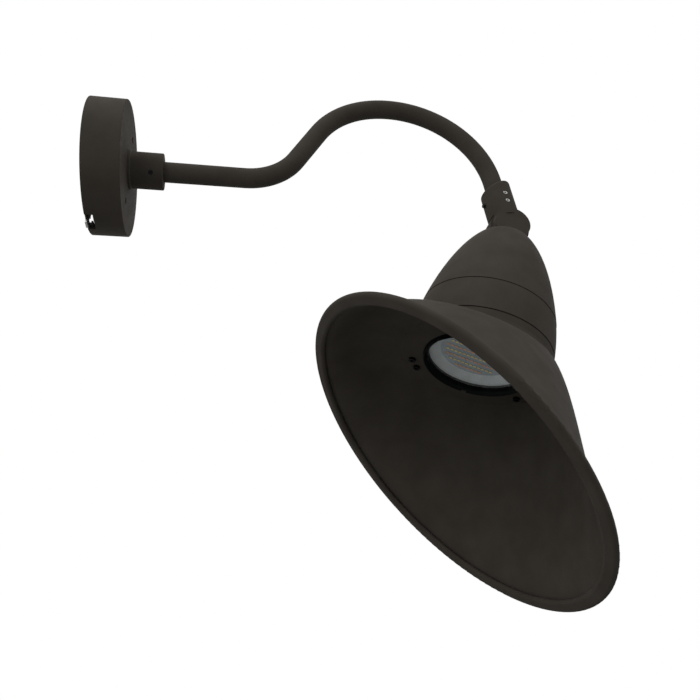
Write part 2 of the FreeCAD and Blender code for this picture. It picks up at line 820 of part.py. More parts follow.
def knuckle_sleeve():
    """Casting clamped on the arm's end, with the ear that carries the pivot."""
    body = sleeve_body("KnuckleSleeve")
    radius = S["sleeve_radius"]
    top = S["sleeve_length"] + radius
    turned(body, [
        (0, S["sleeve_root"]),
        (radius, S["sleeve_root"]),
        (radius, top),
        (0, top),
    ])
    # the slanted top
    lean = S["sleeve_slant"]
    reach = radius * 2
    corner = (-reach * cosine(lean), -reach, S["sleeve_length"] - reach * sine(lean))
    cap = solid_block(body, (reach * 2, reach * 2, reach * 2), corner, Rotation(Y_AXIS, 1), cut=True)
    bind(cap, "Placement.Rotation.Angle", -lean)
    doc.recompute()
    height = S["sleeve_length"].value
    rims = [f"Edge{i + 1}" for i, edge in enumerate(cap.Shape.Edges)
            if edge.BoundBox.ZMin > height / 2 and edge.BoundBox.XLength > radius.value]
    rounding = body.newObject("PartDesign::Fillet", "SleeveRounding")
    rounding.Base = (cap, rims)
    bind(rounding, "Radius", S["sleeve_rounding"])
    solid_pin(body, BORE, top, (0, 0, S["sleeve_bore_stop"]), cut=True)
    solid_pin(body, S["wire_way_radius"], S["sleeve_bore_stop"], (0, 0, 0), cut=True)
    # room for the lug, then the ear beside it
    room = S["lug_radius"] + S["lug_gap"]
    solid_pin(body, room, radius * 3, (0, -EAR_FACE, 0), "+Y", cut=True)
    solid_pin(body, S["ear_radius"], S["ear_thickness"], (0, -EAR_BACK, 0), "+Y")
    grip = S["ear_thickness"] * 0.75
    solid_pin(body, S["bolt_radius"] + 0.02, grip, (0, -(EAR_FACE + grip), 0), "+Y", cut=True)
    for height in sleeve_screw_heights():
        at = (S["sleeve_screw_across"], 0, height)
        solid_pin(body, S["set_screw_radius"] + 0.05, radius * 2, at, "-Y", cut=True)
    at = (0, 0, S["lock_screw_height"])
    solid_pin(body, S["lock_screw_radius"] + 0.05, radius * 2, at, "-X", cut=True)
    return node("knuckle_sleeve", body)


def sleeve_set_screws():
    """Two grub screws that clamp the knuckle on the arm."""
    tip = S["tube_radius"] + 0.2
    end = S["sleeve_radius"] - 0.8
    things = []
    for i, height in enumerate(sleeve_screw_heights()):
        at = (S["sleeve_screw_across"], 0, height)
        things.append(grub_screw(f"SleeveScrew{i}", S["set_screw_radius"], tip, end, at, ALONG["-Y"]))
    return seated("SleeveSetScrews", "sleeve_set_screws", things, SLEEVE_FRAME)


def lock_screw():
    """Long grub screw at the back of the knuckle, its end standing out."""
    tip = S["tube_radius"] + 0.2
    end = S["sleeve_radius"] + S["lock_screw_stand"]
    at = (0, 0, S["lock_screw_height"])
    thing = grub_screw("LockPin", S["lock_screw_radius"], tip, end, at, ALONG["-X"])
    return seated("LockScrew", "lock_screw", [thing], SLEEVE_FRAME)


def pivot_bolt():
    """Shoulder bolt from behind through the lug into the ear."""
    back = S["lug_back"] + S["bolt_washer_thickness"] + 0.1
    reach = back + EAR_FACE + S["ear_thickness"] * 0.7
    thing = screw("PivotPin", S["bolt_radius"], reach, S["bolt_head_radius"], S["bolt_head_height"],
                  S["bolt_radius"] * 0.9, (0, back, 0), "+Y")
    return seated("PivotBolt", "pivot_bolt", [thing], SLEEVE_FRAME)


def flat_ring(name, outer, inner, height, at, turn="+Z"):
    """A flat ring from a point along a direction."""
    disc = doc.addObject("Part::Cylinder", name + "Disc")
    hole = doc.addObject("Part::Cylinder", name + "Hole")
    for thing, radius in ((disc, outer), (hole, inner)):
        bind(thing, "Radius", radius)
        bind(thing, "Height", height)
    whole = doc.addObject("Part::Cut", name)
    whole.Base = disc
    whole.Tool = hole
    place(whole, at, ALONG[turn])
    return whole


def pivot_washers():
    """Friction washer between ear and lug, and the plain washer under the bolt's head."""
    bore = S["bolt_radius"] + 0.02
    friction = flat_ring("FrictionRing", S["washer_radius"], bore, S["lug_gap"] - 0.1,
                         (0, -EAR_FACE, 0), "+Y")
    plain = flat_ring("PlainRing", S["washer_radius"], bore, S["bolt_washer_thickness"],
                      (0, S["lug_back"] + 0.1, 0), "+Y")
    seated("FrictionWasher", "friction_washer", [friction], SLEEVE_FRAME)
    return seated("BoltWasher", "bolt_washer", [plain], SLEEVE_FRAME)


def knuckle_lug():
    """Casting on the dome's crown whose round lug turns beside the ear."""
    body = head_body("KnuckleLug")
    pivot = S["pivot_height"]
    crown = S["crown_height"]
    width = S["lug_face"] + S["lug_back"]
    half = S["stem_half_width"]
    solid_pin(body, S["lug_radius"], width, (0, -S["lug_face"], pivot), "+Y")
    solid_block(body, (half * 2, width, pivot - crown), (-half, -S["lug_face"], crown))
    wide = S["foot_half_width"]
    solid_block(body, (wide * 2, width, S["foot_thickness"]), (-wide, -S["lug_face"], crown))
    under = S["lug_radius"] * 2
    solid_block(body, (under, under, 5), (-under / 2, -under / 2, crown - 5), cut=True)
    stud = S["foot_stud_length"]
    solid_pin(body, S["foot_stud_radius"], stud, (0, 0, crown - stud))
    solid_pin(body, S["stem_way_radius"], stud + 10, (0, 0, crown - stud), cut=True)
    way = S["stem_way_radius"] * 0.7
    aside = -(S["bolt_radius"] + way + 0.4)
    solid_pin(body, way, under, (aside, 2, crown + 1), cut=True)
    bore = S["bolt_radius"] + S["turning_clearance"]
    solid_pin(body, bore, width + 2, (0, -S["lug_face"] - 1, pivot), "+Y", cut=True)
    return node("knuckle_lug", body)


# ---------------------------------------------------------------- housing

def ellipsoid(name, girth, length):
    """An ellipsoid whose middle lies the dome's sink under the seam."""
    thing = doc.addObject("Part::Ellipsoid", name)
    bind(thing, "Radius1", length)
    bind(thing, "Radius2", girth)
    bind(thing, "Radius3", girth)
    place(thing, (0, 0, -S["dome_sink"]))
    return thing


def upright(name, radius, low, high):
    """A cylinder on the Z axis between two heights."""
    thing = doc.addObject("Part::Cylinder", name)
    bind(thing, "Radius", radius)
    bind(thing, "Height", high - low)
    place(thing, (0, 0, low))
    return thing


def combined(kind, name, base, tool):
    """A boolean of two things: Cut, Fuse or Common."""
    thing = doc.addObject(f"Part::{kind}", name)
    thing.Base = base
    thing.Tool = tool
    return thing


def dome_housing():
    """Domed shell over the driver, closed at the crown except for the knuckle's stud."""
    reach = S["dome_girth"] + 5
    neck = S["neck_radius"]
    skin = combined("Common", "DomeSkin", ellipsoid("DomeOuter", S["dome_girth"], S["dome_length"]),
                    upright("DomeSpan", reach, SEAM, S["crown_height"]))
    skin = combined("Fuse", "DomeBlank", skin, upright("DomeNeck", neck, SEAM, S["crown_height"]))
    under = Size(-1, "(0 - 1)")
    room = combined("Common", "DomeRoom", ellipsoid("DomeInner", S["inner_girth"], S["inner_length"]),
                    upright("RoomSpan", reach, under, CROWN_INSIDE))
    room = combined("Fuse", "DomeHollow", room,
                    upright("NeckRoom", neck - S["shell_wall"], under, CROWN_INSIDE))
    shell = combined("Cut", "DomeShell", skin, room)
    hole = upright("StudHole", S["foot_stud_radius"] + 0.15, CROWN_INSIDE - 2, S["crown_height"] + 2)
    dome = combined("Cut", "DomeHousing", shell, hole)
    return node("dome_housing", seat(dome, HEAD_FRAME))


def middle_band():
    """Slightly bulged band between the dome and the lower ring."""
    body = head_body("MiddleBand")
    outer = S["spigot_radius"]
    inner = outer - S["spigot_wall"]
    room = S["band_bore"]
    turned(body, [
        (room, BAND_FOOT),
        (S["band_foot_radius"], BAND_FOOT),
        (S["band_top_radius"], -SEAM, S["band_bulge_radius"]),
        (outer, -SEAM),
        (outer, S["spigot_length"]),
        (inner, S["spigot_length"]),
        (inner, -S["spigot_length"]),
        (room, -S["spigot_length"] - 3),
    ])
    return node("middle_band", body)


def lower_ring():
    """Ring under the band: seat of the heat sink and lens, and flange for the shade."""
    body = head_body("LowerRing")
    spigot = S["ring_spigot_radius"]
    inside = S["ring_bore"]
    bore = S["retainer_radius"] + S["retainer_clearance"]
    rim = S["ring_foot_radius"]
    lip = rim - S["ring_lip"]
    waist = S["ring_waist_radius"]
    turned(body, [
        (bore, GASKET_TOP),
        (lip, GASKET_TOP),
        (lip, RING_FOOT),
        (rim, RING_FOOT),
        (waist, RING_FOOT + S["ring_cove_height"], -S["ring_cove_radius"]),
        (waist + 0.4, RING_TOP),
        (spigot, RING_TOP),
        (spigot, RING_TOP + S["spigot_length"]),
        (inside, RING_TOP + S["spigot_length"]),
        (inside, SEAT_TOP),
        (S["seat_radius"], SEAT_TOP),
        (S["seat_radius"], SEAT_FOOT),
        (bore, SEAT_FOOT),
    ])
    for x, y in shade_screw_places():
        depth = S["shade_screw_grip"] + 1
        solid_pin(body, S["shade_screw_radius"] + 0.05, depth, (x, y, GASKET_TOP - 1), cut=True)
    for x, y in sink_screw_places():
        solid_pin(body, S["sink_screw_radius"] + 0.05, 6, (x, y, SEAT_FOOT + 0.4), cut=True)
    return node("lower_ring", body)


def shade_screw_places():
    """Three points on the shade's screw circle, and the bonding screw's."""
    turns = [S["shade_screw_turn"] + 120 * i for i in range(3)] + [S["bond_screw_turn"]]
    return [(S["shade_screw_circle"] * cosine(a), S["shade_screw_circle"] * sine(a)) for a in turns]


def sink_screw_places():
    """Four points between the heat sink's fins."""
    across = S["sink_screw_across"]
    aside = S["fin_pitch"] * 2
    return [(across * i, aside * k) for i in (-1, 1) for k in (-1, 1)]


# ---------------------------------------------------------------- light engine

def foot_nut():
    """Nut on the lug's stud, inside the crown."""
    low = CROWN_INSIDE - S["foot_nut_thickness"]
    bore = S["foot_stud_radius"] + 0.1
    block = doc.addObject("Part::Prism", "FootNutBlock")
    block.Polygon = 6
    bind(block, "Circumradius", S["foot_nut_radius"])
    bind(block, "Height", S["foot_nut_thickness"])
    hole = upright("FootNutHole", bore, 0, S["foot_nut_thickness"])
    whole = combined("Cut", "FootNutRing", block, hole)
    place(whole, (0, 0, low))
    return seated("FootNut", "foot_nut", [whole], HEAD_FRAME)


def heat_sink():
    """Finned casting that carries the board below and the driver above."""
    body = head_body("HeatSink")
    radius = S["sink_radius"]
    ledge = S["seat_radius"] + 0.6
    turned(body, [
        (0, BOARD_BACK),
        (ledge, BOARD_BACK),
        (ledge, SEAT_TOP),
        (radius, SEAT_TOP),
        (radius, SINK_TOP),
        (0, SINK_TOP),
    ])
    reach = S["fin_reach"]
    thick = S["fin_thickness"]
    for i in range(4):
        for side in (-1, 1):
            middle = S["fin_pitch"] * (i + 0.5)
            half = root(reach * reach - (middle + thick / 2) * (middle + thick / 2))
            low = (-half, middle * side - thick / 2, SINK_TOP)
            solid_block(body, (half * 2, thick, S["fin_height"]), low)
    for side in (-1, 1):
        across = S["driver_screw_across"] * side
        solid_pin(body, S["fin_thickness"] + 1, S["fin_height"], (across, 0, SINK_TOP))
        hole = S["sink_screw_radius"] + 0.1
        solid_pin(body, hole, 13, (across, 0, FIN_TOP - 12), cut=True)
        lead = S["lead_radius"] + 0.6
        solid_pin(body, lead, S["sink_plate"] + 2, (S["lead_spacing"] * side, 0, BOARD_BACK - 1), cut=True)
    for x, y in sink_screw_places():
        depth = SINK_TOP - SEAT_TOP + 2
        solid_pin(body, S["sink_screw_radius"] + 0.2, depth, (x, y, SEAT_TOP - 1), cut=True)
    return node("heat_sink", body)


def sink_screws():
    """Four screws from the heat sink into the lower ring."""
    shank = S["sink_screw_radius"]
    length = SINK_TOP - SEAT_FOOT - 0.6
    things = [
        screw(f"SinkScrew{i}", shank, length, shank * 1.8, 2.2, shank * 0.9, (x, y, SINK_TOP))
        for i, (x, y) in enumerate(sink_screw_places())
    ]
    return seated("SinkScrews", "sink_screws", things, HEAD_FRAME)


def led_board():
    """Round board on the heat sink's face."""
    disc = upright("BoardDisc", S["board_radius"], BOARD_FRONT, BOARD_BACK)
    return seated("LedBoard", "led_board", [disc], HEAD_FRAME)


def led_rows():
    """Rows of chips on the board, warm and cool ones in turn."""
    counts = (16, 15, 14, 11, 7)
    warm = []
    cool = []
    long = S["chip_length"]
    wide = S["chip_width"]
    for row in range(-4, 5):
        count = counts[abs(row)]
        kind = cool if row % 2 else warm
        for k in range(count):
            chip = doc.addObject("Part::Box", f"Chip{row + 4}_{k}")
            bind(chip, "Length", long)
            bind(chip, "Width", wide)
            bind(chip, "Height", S["chip_height"])
            x = S["chip_pitch"] * (k - (count - 1) / 2) - long / 2
            y = S["array_shift"] + S["row_pitch"] * row - wide / 2
            place(chip, (x, y, 0))
            kind.append(chip)
    for name, label, chips in (("Warm", "leds_warm", warm), ("Cool", "leds_cool", cool)):
        rows = doc.addObject("Part::Compound", f"{name}Rows")
        rows.Links = chips
        place(rows, (0, 0, BOARD_FRONT - S["chip_height"]), Rotation(Z_AXIS, 1))
        bind(rows, "Placement.Rotation.Angle", S["array_turn"])
        seated(f"{name}Chips", label, [rows], HEAD_FRAME)


def reflector_ring():
    """Thin cone from the array's edge out to the lens."""
    body = head_body("ReflectorRing")
    top = BOARD_FRONT - 0.1
    low = LENS_TOP + 0.1
    edge = S["seat_radius"] - 0.4
    wall = S["reflector_wall"]
    turned(body, [
        (S["array_radius"], top),
        (edge - wall * 1.5, low),
        (edge, low),
        (S["array_radius"] + wall * 1.5, top),
    ])
    return node("reflector_ring", body)


def lens_gasket():
    """Soft ring between the lower ring's seat and the lens."""
    low = SEAT_FOOT - S["lens_gasket_thickness"]
    ring = flat_ring("LensSeal", S["lens_radius"] - 0.1, S["seat_radius"] + 0.2,
                     S["lens_gasket_thickness"], (0, 0, low))
    return seated("LensGasket", "lens_gasket", [ring], HEAD_FRAME)


def lens():
    """Flat glass under the board."""
    disc = upright("LensDisc", S["lens_radius"], LENS_FOOT, LENS_TOP)
    return seated("Lens", "lens", [disc], HEAD_FRAME)


def retaining_ring():
    """Black ring screwed up against the lens, with three spanner notches in its end."""
    body = head_body("RetainingRing")
    outer = S["retainer_radius"]
    inner = S["retainer_bore"]
    top = LENS_FOOT - 0.05
    low = SHADE_TOP - S["retainer_drop"]
    flare = S["retainer_flare"]
    turned(body, [
        (inner, top),
        (inner, low + flare + 0.6),
        (inner + flare, low),
        (outer - 0.3, low),
        (outer, low + 0.3),
        (outer, top),
    ])
    wide = 5
    for i in range(3):
        angle = S["notch_turn"].value + 120 * i
        across = math.cos(math.radians(angle))
        aside = math.sin(math.radians(angle))
        reach = inner - 2
        corner = (reach * across + wide / 2 * aside, reach * aside - wide / 2 * across, low - 1)
        solid_block(body, (outer - inner + 4, wide, 3), corner, Rotation(Z_AXIS, angle), cut=True)
    return node("retaining_ring", body)


def driver_bracket():
    """Plate on the heat sink's posts, under the driver."""
    body = head_body("DriverBracket")
    across = S["driver_screw_across"] + 4
    half = S["fin_pitch"]
    solid_block(body, (across * 2, half * 2, S["bracket_thickness"]), (-across, -half, FIN_TOP))
    for side in (-1, 1):
        for radius, x in ((S["sink_screw_radius"] + 0.2, S["driver_screw_across"]),
                          (S["lead_radius"] + 0.6, S["lead_spacing"])):
            solid_pin(body, radius, S["bracket_thickness"] + 2, (x * side, 0, FIN_TOP - 1), cut=True)
    return node("driver_bracket", body)


def driver():
    """Potted driver in a box with two ears."""
    body = head_body("Driver")
    long = S["driver_length"]
    wide = S["driver_width"]
    solid_block(body, (long, wide, S["driver_height"]), (-long / 2, -wide / 2, BRACKET_TOP))
    ear = S["driver_screw_across"] + 4
    solid_block(body, (ear * 2, wide / 3, 1.5), (-ear, -wide / 6, BRACKET_TOP))
    for side in (-1, 1):
        x = S["driver_screw_across"] * side
        solid_pin(body, S["sink_screw_radius"] + 0.2, 4, (x, 0, BRACKET_TOP - 1), cut=True)
    return node("driver", body)


def driver_screws():
    """Two screws through the driver's ears into the posts."""
    shank = S["sink_screw_radius"]
    top = BRACKET_TOP + 1.5
    length = top - FIN_TOP + 10
    things = [
        screw(f"DriverScrew{i}", shank, length, shank * 1.8, 2.2, shank * 0.9,
              (S["driver_screw_across"] * side, 0, top))
        for i, side in enumerate((-1, 1))
    ]
    return seated("DriverScrews", "driver_screws", things, HEAD_FRAME)


def leads():
    """Leads from the driver down to the board and up to the knuckle."""
    down = []
    for i, side in enumerate((-1, 1)):
        rod = upright(f"BoardLead{i}", S["lead_radius"], BOARD_BACK, BRACKET_TOP)
        place(rod, (S["lead_spacing"] * side, 0, BOARD_BACK))
        down.append(rod)
    seated("BoardLeads", "board_leads", down, HEAD_FRAME)
    up = []
    for i, lane in enumerate((-1, 0, 1)):
        rod = upright(f"HeadLead{i}", S["wire_radius"], DRIVER_TOP, S["crown_height"] + 8)
        place(rod, (S["stem_way_radius"] * 0.57 * lane, 0, DRIVER_TOP))
        up.append(rod)
    seated("HeadLeads", "head_leads", up, HEAD_FRAME)


# ---------------------------------------------------------------- shade

def shade_gasket():
    """Flat seal between the lower ring and the shade."""
    body = head_body("ShadeGasket")
    inner = S["shade_hole_radius"] + 0.6
    outer = S["ring_foot_radius"] - 3.1
    turned(body, [(inner, SHADE_TOP), (outer, SHADE_TOP), (outer, GASKET_TOP), (inner, GASKET_TOP)])
    for x, y in shade_screw_places():
        solid_pin(body, S["shade_screw_radius"] + 0.6, 4, (x, y, SHADE_TOP - 1), cut=True)
    return node("shade_gasket", body)


def skirt_section(t, depth):
    """Centre, lean and radius of the skirt at t, on the outside or at a depth in its wall."""
    lean = S["rim_lean"] * t ** 0.8
    whole = S["rim_lean"]
    bow = 4 * t * (1 - t)
    end_x = S["rim_across"] + S["skirt_overlap"] * sine(whole)
    end_z = -S["rim_drop"] + S["skirt_overlap"] * cosine(whole)
    x = end_x * t + S["bulge_across"] * bow
    z = SHADE_TOP * (1 - t) + end_z * t + S["bulge_up"] * bow
    span = S["skirt_radius"] - S["shoulder_radius"]
    radius = S["shoulder_radius"] + span * (1 - (1 - t) ** 0.7)
    slope = math.radians(40 + 50 * (1 - t) ** 8)
    sink = depth * math.sin(slope)
    return (x - sink * sine(lean), z - sink * cosine(lean)), lean, radius - depth * math.cos(slope)


def skirt(body, kind, depth):
    """Loft through the skirt's sections."""
    sections = []
    for t in (0, 0.221, 0.409, 0.567, 0.702, 0.819, 0.922, 1):
        (x, z), lean, radius = skirt_section(t, depth)
        sketch = new_sketch(body, FLOOR)
        place(sketch, (x, 0, z), Rotation(Y_AXIS, 1), "AttachmentOffset")
        bind(sketch, "AttachmentOffset.Rotation.Angle", lean)
        sections.append(circle(sketch, radius))
    loft = body.newObject(f"PartDesign::{kind}Loft", f"{body.Name}{kind}Skirt")
    loft.Profile = sections[0]
    loft.Sections = sections[1:]
    return loft


def shade():
    """Spun shade that leans back to the wall, its edge folded out into a rolled bead."""
    body = head_body("Shade")
    skirt(body, "Additive", Size(0, "0"))
    skirt(body, "Subtractive", S["shade_wall"])
    sketch = new_sketch(body, FLOOR, SHADE_TOP + 1)
    circle(sketch, S["shade_hole_radius"])
    for x, y in shade_screw_places():
        circle(sketch, S["shade_screw_radius"] + 0.3, x, y)
    holes = body.newObject("PartDesign::Pocket", "ShadeHoles")
    holes.Profile = sketch
    bind(holes, "Length", S["shade_wall"] + 2)
    half = S["bead_thickness"] / 2
    outer = S["rim_radius"]
    inner = outer - S["bead_width"]
    middle = (outer + inner) / 2
    edge = S["skirt_radius"] - S["shade_wall"]
    fold = S["skirt_overlap"]
    rim_turn(body, "Lip", [(edge, 0), (middle, 0), (middle, fold), (edge, fold)])
    rim_turn(body, "Bead", [
        (inner + half, -half, half),
        (outer - half, -half),
        (outer, 0, half),
        (outer - half, half, half),
        (inner + half, half),
        (inner, 0, half),
    ])
    return node("shade", body)


def rim_turn(body, name, points):
    """Revolve an outline about the rim's own axis."""
    sketch = new_sketch(body, FRONT)
    place(sketch, (S["rim_across"], -S["rim_drop"], 0), Rotation(Z_AXIS, 1), "AttachmentOffset")
    bind(sketch, "AttachmentOffset.Rotation.Angle", -S["rim_lean"])
    feature = body.newObject("PartDesign::Revolution", name)
    feature.Profile = draw(sketch, points)
    feature.ReferenceAxis = (sketch, ["V_Axis"])
    feature.Angle = 360
    return feature


def fasten(name, label, places):
    """Screws up through the shade into the lower ring."""
    shank = S["shade_screw_radius"]
    low = SHADE_TOP - S["shade_wall"]
    length = GASKET_TOP + S["shade_screw_grip"] - S["screw_tip_gap"] - low
    things = [
        screw(f"{name}{i}", shank, length, shank * 1.8, 2.6, shank * 0.9, (x, y, low), "-Z")
        for i, (x, y) in enumerate(places)
    ]
    return seated(name, label, things, HEAD_FRAME)


# ---------------------------------------------------------------- the whole sconce

def build():
    """Draw every piece."""
    for piece in (
        mounting_plate, ground_screw, canopy, canopy_gasket, canopy_screws, hub, hub_locknut, hub_set_screw,
        arm_tube, arm_wires, wire_connectors,
        knuckle_sleeve, sleeve_set_screws, lock_screw, pivot_bolt, pivot_washers,
        knuckle_lug, foot_nut, dome_housing, middle_band, lower_ring,
        heat_sink, sink_screws, led_board, led_rows, reflector_ring, lens_gasket, lens, retaining_ring,
        driver_bracket, driver, driver_screws, leads,
        shade_gasket, shade,
    ):
        piece()
    places = shade_screw_places()
    fasten("ShadeScrews", "shade_screws", places[:3])
    fasten("BondScrew", "bond_screw", places[3:])
    doc.recompute()


def check():
    """Stop on any broken feature or shape."""
    for thing in doc.Objects:
        if "Invalid" in thing.State or "Error" in thing.State:
            raise RuntimeError(f"{thing.Name} is {thing.State}")
    for thing in nodes:
        if thing.Shape.isNull() or not thing.Shape.isValid():
            raise RuntimeError(f"{thing.Label} has no valid shape")


build()
check()
os.makedirs("parts", exist_ok=True)
for thing in nodes:
    thing.Shape.exportStep(f"parts/{thing.Label}.step")
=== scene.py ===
import math

import bmesh
import bpy
from mathutils import Matrix, Vector


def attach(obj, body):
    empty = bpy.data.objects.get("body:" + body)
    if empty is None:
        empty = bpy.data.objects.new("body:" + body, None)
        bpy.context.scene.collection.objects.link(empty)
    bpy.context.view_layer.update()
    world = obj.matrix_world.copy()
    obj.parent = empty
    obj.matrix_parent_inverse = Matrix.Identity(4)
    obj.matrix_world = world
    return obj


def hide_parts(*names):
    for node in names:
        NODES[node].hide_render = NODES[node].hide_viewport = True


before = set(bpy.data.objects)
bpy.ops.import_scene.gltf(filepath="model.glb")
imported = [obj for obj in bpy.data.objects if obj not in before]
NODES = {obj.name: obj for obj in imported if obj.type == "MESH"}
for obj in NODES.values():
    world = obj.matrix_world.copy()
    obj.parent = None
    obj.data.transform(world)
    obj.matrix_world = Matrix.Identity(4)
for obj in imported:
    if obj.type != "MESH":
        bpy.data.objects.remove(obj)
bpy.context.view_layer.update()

# The sconce in metres, in the frame of the solids: wall at x = 0, +X along the arm, +Z up.
# Named lengths are in millimetres unless they say otherwise, and MM turns them into metres.

MM = 0.001

# ---------------------------------------------------------------- camera

CAMERA_EYE = Vector((134.61, -570.42, -508.8)) * MM
CAMERA_YAW = 12.227
CAMERA_PITCH = 27.361
CAMERA_ROLL = -4.147
CAMERA_LENS = 34.857
CAMERA_NEAR = 0.01
CAMERA_FAR = 50
SENSOR = 36.0


def add_camera():
    """The camera under the arm, looking up along the wall."""
    yaw = math.radians(CAMERA_YAW)
    pitch = math.radians(CAMERA_PITCH)
    roll = math.radians(CAMERA_ROLL)
    ahead = math.cos(pitch)
    forward = Vector((math.sin(yaw) * ahead, math.cos(yaw) * ahead, math.sin(pitch)))
    level = Vector((math.cos(yaw), -math.sin(yaw), 0))
    raised = level.cross(forward)
    right = level * math.cos(roll) + raised * math.sin(roll)
    up = raised * math.cos(roll) - level * math.sin(roll)
    data = bpy.data.cameras.new("Camera")
    data.lens = CAMERA_LENS
    data.sensor_width = SENSOR
    data.clip_start = CAMERA_NEAR
    data.clip_end = CAMERA_FAR
    camera = bpy.data.objects.new("Camera", data)
    bpy.context.scene.collection.objects.link(camera)
    turn = Matrix((right, up, -forward)).transposed()
    camera.matrix_world = Matrix.Translation(CAMERA_EYE) @ turn.to_4x4()
    bpy.context.scene.camera = camera


# ---------------------------------------------------------------- shader parts

def node_tree(name):
    """A new material with its nodes, its links and its main shader."""
    material = bpy.data.materials.new(name)
    material.use_nodes = True
    nodes = material.node_tree.nodes
    return material, nodes, material.node_tree.links, nodes["Principled BSDF"]


def linear(colour):
    """Linear colour with alpha from eight-bit sRGB."""
    values = []
    for level in colour:
        c = level / 255
        values.append(c / 12.92 if c <= 0.04045 else ((c + 0.055) / 1.055) ** 2.4)
    return (*values, 1.0)


def noise(nodes, links, scale, detail=2.0, stretch=(1, 1, 1)):
    """Noise over the object's own coordinates, in metres."""
    where = nodes.new("ShaderNodeTexCoord")
    mapping = nodes.new("ShaderNodeMapping")
    mapping.inputs["Scale"].default_value = stretch
    grain = nodes.new("ShaderNodeTexNoise")
    grain.inputs["Scale"].default_value = scale
    grain.inputs["Detail"].default_value = detail
    grain.inputs["Roughness"].default_value = 0.5
    links.new(where.outputs["Object"], mapping.inputs["Vector"])
    links.new(mapping.outputs["Vector"], grain.inputs["Vector"])
    return grain.outputs["Fac"]


def spread(nodes, links, value, low, high):
    """The middle of a noise mapped to a range."""
    remap = nodes.new("ShaderNodeMapRange")
    remap.inputs["From Min"].default_value = 0.3
    remap.inputs["From Max"].default_value = 0.7
    remap.inputs["To Min"].default_value = low
    remap.inputs["To Max"].default_value = high
    links.new(value, remap.inputs["Value"])
    return remap.outputs["Result"]


def ramp(nodes, links, value, low, high, start=0.3, end=0.7):
    """A colour between two, driven by a value."""
    blend = nodes.new("ShaderNodeValToRGB")
    blend.color_ramp.elements[0].position = start
    blend.color_ramp.elements[0].color = linear(low)
    blend.color_ramp.elements[1].position = end
    blend.color_ramp.elements[1].color = linear(high)
    links.new(value, blend.inputs["Fac"])
    return blend.outputs["Color"]


def bump(nodes, links, height, distance, strength, under=None):
    """A bump of a height in metres, on top of another."""
    relief = nodes.new("ShaderNodeBump")
    relief.inputs["Distance"].default_value = distance
    relief.inputs["Strength"].default_value = strength
    links.new(height, relief.inputs["Height"])
    if under is not None:
        links.new(under, relief.inputs["Normal"])
    return relief.outputs["Normal"]


# ---------------------------------------------------------------- finishes

# scales of the powder coat's noises, and its two heights in metres
TONE_SCALE = 35
GLOSS_SCALE = 60
PEEL_SCALE = 420
GRAIN_SCALE = 2200
PEEL_HEIGHT = 0.0001
GRAIN_HEIGHT = 0.00005
COAT_ROUGHNESS = 0.72
COAT_SHINE = 0.03
# heights in metres of the other finishes
DRAWN_HEIGHT = 0.00003
SPARK_HEIGHT = 0.00003
CELL_HEIGHT = 0.0003
GLASS_ALPHA = 0.1
GLASS_IOR = 1.45


def powder_coat(name, low, high, roughness=COAT_ROUGHNESS):
    """Baked powder coat: a soft orange peel, a fine grain and a slight change of tone."""
    material, nodes, links, shader = node_tree(name)
    tone = noise(nodes, links, TONE_SCALE, 3)
    links.new(ramp(nodes, links, tone, low, high), shader.inputs["Base Color"])
    gloss = noise(nodes, links, GLOSS_SCALE, 4)
    rough = spread(nodes, links, gloss, roughness - 0.04, roughness + 0.05)
    links.new(rough, shader.inputs["Roughness"])
    wave = bump(nodes, links, noise(nodes, links, PEEL_SCALE, 1.5), PEEL_HEIGHT, 0.5)
    fine = bump(nodes, links, noise(nodes, links, GRAIN_SCALE, 2.5), GRAIN_HEIGHT, 0.5, wave)
    links.new(fine, shader.inputs["Normal"])
    shader.inputs["Specular IOR Level"].default_value = COAT_SHINE
    return material


def metal(name, low, high, roughness=0.35, stretch=(1, 1, 12), scale=260):
    """Plated or cast metal with a fine drawn grain."""
    material, nodes, links, shader = node_tree(name)
    grain = noise(nodes, links, scale, 4, stretch)
    links.new(ramp(nodes, links, grain, low, high), shader.inputs["Base Color"])
    rough = spread(nodes, links, grain, roughness - 0.08, roughness + 0.1)
    links.new(rough, shader.inputs["Roughness"])
    links.new(bump(nodes, links, grain, DRAWN_HEIGHT, 0.5), shader.inputs["Normal"])
    shader.inputs["Metallic"].default_value = 1.0
    return material


def plastic(name, low, high, roughness=0.4):
    """Moulded plastic or enamel with a fine spark grain."""
    material, nodes, links, shader = node_tree(name)
    grain = noise(nodes, links, 900, 3)
    tone = noise(nodes, links, 90, 2)
    links.new(ramp(nodes, links, tone, low, high), shader.inputs["Base Color"])
    rough = spread(nodes, links, grain, roughness - 0.05, roughness + 0.08)
    links.new(rough, shader.inputs["Roughness"])
    links.new(bump(nodes, links, grain, SPARK_HEIGHT, 0.5), shader.inputs["Normal"])
    return material


def foam(name, low, high, scale=900):
    """Open-celled foam or dull rubber, its colour darker in the pits of the cells as painted
    shade.
    """
    material, nodes, links, shader = node_tree(name)
    where = nodes.new("ShaderNodeTexCoord")
    cells = nodes.new("ShaderNodeTexVoronoi")
    cells.inputs["Scale"].default_value = scale
    links.new(where.outputs["Object"], cells.inputs["Vector"])
    pit_depth_and_shade = cells.outputs["Distance"]
    # the darker tone falls in the pits of the cells: painted shade
    links.new(ramp(nodes, links, pit_depth_and_shade, low, high, 0.1, 0.6), shader.inputs["Base Color"])
    links.new(bump(nodes, links, pit_depth_and_shade, CELL_HEIGHT, 0.7), shader.inputs["Normal"])
    shader.inputs["Roughness"].default_value = 0.9
    return material


